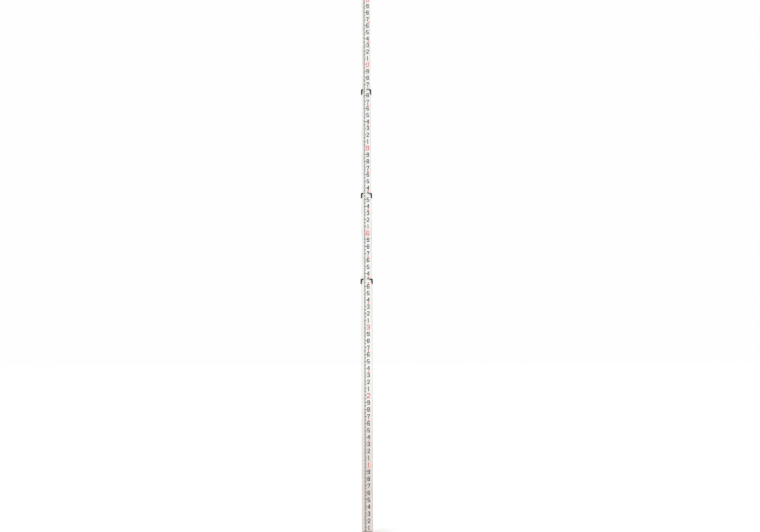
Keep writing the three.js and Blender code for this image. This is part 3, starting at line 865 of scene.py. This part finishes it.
SPRING_RADIUS = 3.85 * MM        # to the middle of the wire
SPRING_WIRE = 0.45 * MM
SPRING_TURNS = 5
CLOSED_TURNS = 0.8               # turns laid flat at each end
CLOSED_SLOPE = 0.16              # steepness of those turns, against an even coil
STEPS_PER_TURN = 28
WIRE_STEPS = 10
CUP_FLOOR = 1.8 * MM             # from a button's tip to the floor of its cup
SPRING_GAP = 0.1 * MM


def coil_rise(turns):
    """The share of a coil's height reached after some turns: its ends are laid flat."""
    if turns < CLOSED_TURNS:
        return CLOSED_SLOPE * turns / SPRING_TURNS
    if turns > SPRING_TURNS - CLOSED_TURNS:
        return 1 - CLOSED_SLOPE * (SPRING_TURNS - turns) / SPRING_TURNS
    closed = CLOSED_SLOPE * CLOSED_TURNS / SPRING_TURNS
    return closed + (1 - 2 * closed) * (turns - CLOSED_TURNS) / (SPRING_TURNS - 2 * CLOSED_TURNS)


def coil_mesh(foot, length):
    """A compression spring along +Y from foot."""
    mesh = bmesh.new()
    loops = []
    for step in range(SPRING_TURNS * STEPS_PER_TURN + 1):
        turns = step / STEPS_PER_TURN
        angle = 2 * math.pi * turns
        radial = Vector((math.cos(angle), 0, math.sin(angle)))
        rise = SPRING_WIRE + coil_rise(turns) * (length - 2 * SPRING_WIRE)
        middle = foot + radial * SPRING_RADIUS + Vector((0, rise, 0))
        loop = []
        for side in range(WIRE_STEPS):
            around = 2 * math.pi * side / WIRE_STEPS
            offset = radial * math.cos(around) + Vector((0, math.sin(around), 0))
            loop.append(mesh.verts.new(middle + offset * SPRING_WIRE))
        loops.append(loop)
    for lower, upper in zip(loops, loops[1:]):
        for side in range(WIRE_STEPS):
            after = (side + 1) % WIRE_STEPS
            mesh.faces.new((lower[side], lower[after], upper[after], upper[side]))
    mesh.faces.new(loops[0])
    mesh.faces.new(loops[-1])
    return mesh


def add_spring(section):
    """A spring that reaches its button."""
    node = f"lock_spring_{section}"
    low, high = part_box(node)
    button_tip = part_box(f"lock_button_{section}")[1].y
    foot = Vector(((low.x + high.x) / 2, low.y, (low.z + high.z) / 2))
    length = button_tip - CUP_FLOOR - SPRING_GAP - low.y
    piece = new_piece(f"{node}_wound", coil_mesh(foot, length), SPRING_WIRE_STEEL,
                      BODIES[section])
    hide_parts(node)
    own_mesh(piece)
    soften(piece)


for number in SECTIONS[1:]:
    add_spring(number)

# ---- Badge ----------------------------------------------------------------------------

WINDOW_GAP = 0.25 * MM           # between the rim and the insert
RIM_EDGE = 0.5 * MM              # rounding of the rim's edges
EDGE_STEPS = 4
DOME_START = 0.3 * MM            # from the insert's nominal face down to the dome's foot
DOME_RISE = 1.0 * MM
DOME_RINGS = 8
CAPSULE_STEPS = 16               # points round each end


def capsule(half_width, half_height):
    straight = half_height - half_width
    points = []
    for side in (1, -1):
        for step in range(CAPSULE_STEPS + 1):
            turn = math.pi * step / CAPSULE_STEPS
            points.append((side * half_width * math.cos(turn),
                           side * (straight + half_width * math.sin(turn))))
    return points


def capsule_piece(node, rings, closed, material):
    """A piece through upright capsules, each a half width, a half height and a y."""
    low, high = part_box(node)
    middle = (low + high) / 2
    mesh = bmesh.new()
    loops = []
    for half_width, half_height, y in rings:
        outline = capsule(half_width, half_height)
        loops.append([mesh.verts.new((middle.x + x, y, middle.z + z)) for x, z in outline])
    count = len(loops[0])
    pairs = list(zip(loops, loops[1:]))
    if closed:
        pairs.append((loops[-1], loops[0]))
    else:
        mesh.faces.new(loops[0])
        mesh.faces.new(loops[-1])
    for lower, upper in pairs:
        for index in range(count):
            after = (index + 1) % count
            mesh.faces.new((lower[index], lower[after], upper[after], upper[index]))
    piece = new_piece(f"{node}_detailed", mesh, material, BODIES[1])
    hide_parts(node)
    soften(piece)


def rounded_edge(half_width, half_height, y, turn_from):
    """Rings that turn 90 degrees round an edge; the arguments are its arc's middle."""
    rings = []
    for step in range(EDGE_STEPS + 1):
        turn = math.radians(turn_from + 90 * step / EDGE_STEPS)
        out = RIM_EDGE * math.cos(turn)
        rings.append((half_width + out, half_height + out, y + RIM_EDGE * math.sin(turn)))
    return rings


def half_size(node):
    low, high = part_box(node)
    return (high.x - low.x) / 2, (high.z - low.z) / 2


def badge_rim():
    low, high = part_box("badge_rim")
    width, height = half_size("badge_rim")
    window_width, window_height = (half + WINDOW_GAP for half in half_size("badge_insert"))
    face = high.y - RIM_EDGE
    rings = [
        (width, height, low.y),
        *rounded_edge(width - RIM_EDGE, height - RIM_EDGE, face, 0),
        *rounded_edge(window_width + RIM_EDGE, window_height + RIM_EDGE, face, 90),
        (window_width, window_height, low.y),
    ]
    capsule_piece("badge_rim", rings, True, BLACK_PLASTIC)


def badge_insert():
    """The insert as a domed, glossy button."""
    low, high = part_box("badge_insert")
    width, height = half_size("badge_insert")
    foot = high.y - DOME_START
    rings = [(width, height, low.y), (width, height, foot)]
    for step in range(1, DOME_RINGS):
        turn = 0.5 * math.pi * step / DOME_RINGS
        inset = width * (1 - math.cos(turn))
        rings.append((width - inset, height - inset, foot + DOME_RISE * math.sin(turn)))
    capsule_piece("badge_insert", rings, False, ORANGE_PLASTIC)


badge_rim()
badge_insert()

# ---- Stage, lights and camera ---------------------------------------------------------

FLOOR_SIZE = 60
SURROUND_LIGHT = 0.58            # how much the white surround lights the rod
SURROUND_SEEN = 0.99             # how bright it looks
LIGHT_SPREAD = math.radians(40)
CAMERA_DISTANCE = 4.44
CAMERA_HEIGHT = 0.856
CAMERA_SIDE = 0.0603             # the camera stands a little to the rod's right
CAMERA_RISE = math.radians(4.283)
CAMERA_ROLL = math.radians(-0.224)
LENS = 46.7                      # mm
SENSOR_WIDTH = 36                # mm
VIEW_DEPTH = 200                 # how far the camera sees
FLOOR_DROP = 0.0002              # keeps the floor just clear of the shoe


def add_floor():
    mesh = bmesh.new()
    bmesh.ops.create_grid(mesh, x_segments=8, y_segments=8, size=FLOOR_SIZE / 2)
    data = bpy.data.meshes.new("studio_floor")
    mesh.to_mesh(data)
    mesh.free()
    data.materials.append(floor_surface())
    floor = bpy.data.objects.new("studio_floor", data)
    floor.location.z = -FLOOR_DROP
    bpy.context.scene.collection.objects.link(floor)


def add_world():
    """A white surround, which lights the rod less brightly than it looks."""
    world = bpy.data.worlds.new("studio")
    world.use_nodes = True
    tree = world.node_tree
    path = tree.nodes.new("ShaderNodeLightPath")
    strength = tree.nodes.new("ShaderNodeMapRange")
    strength.inputs["To Min"].default_value = SURROUND_LIGHT
    strength.inputs["To Max"].default_value = SURROUND_SEEN
    background = tree.nodes["Background"]
    background.inputs["Color"].default_value = colour(1, 1, 1)
    tree.links.new(path.outputs["Is Camera Ray"], strength.inputs["Value"])
    tree.links.new(strength.outputs[0], background.inputs["Strength"])
    bpy.context.scene.world = world


def add_soft_light(name, azimuth, elevation, strength):
    """Broad, even light from one side. Azimuth 0 is the front, and grows towards +X."""
    light = bpy.data.lights.new(name, "SUN")
    light.energy = strength
    light.angle = LIGHT_SPREAD
    lamp = bpy.data.objects.new(name, light)
    towards = Vector((0, 1, 0))
    towards.rotate(Euler((math.radians(-elevation), 0, math.radians(azimuth))))
    lamp.rotation_euler = towards.to_track_quat("-Z", "Y").to_euler()
    bpy.context.scene.collection.objects.link(lamp)


def add_camera():
    camera = bpy.data.objects.new("camera", bpy.data.cameras.new("camera"))
    camera.data.lens = LENS
    camera.data.sensor_width = SENSOR_WIDTH
    camera.data.clip_end = VIEW_DEPTH
    rise = Matrix.Rotation(math.pi / 2 + CAMERA_RISE, 4, "X")
    roll = Matrix.Rotation(CAMERA_ROLL, 4, "Z")
    stand = Matrix.Translation((CAMERA_SIDE, -CAMERA_DISTANCE, CAMERA_HEIGHT))
    camera.matrix_world = stand @ rise @ roll
    bpy.context.scene.collection.objects.link(camera)
    bpy.context.scene.camera = camera


add_floor()
add_world()
add_soft_light("key", -42, 50, 1.25)
add_soft_light("fill", 160, 42, 1.05)
add_camera()
bpy.context.scene.view_settings.view_transform = "Standard"
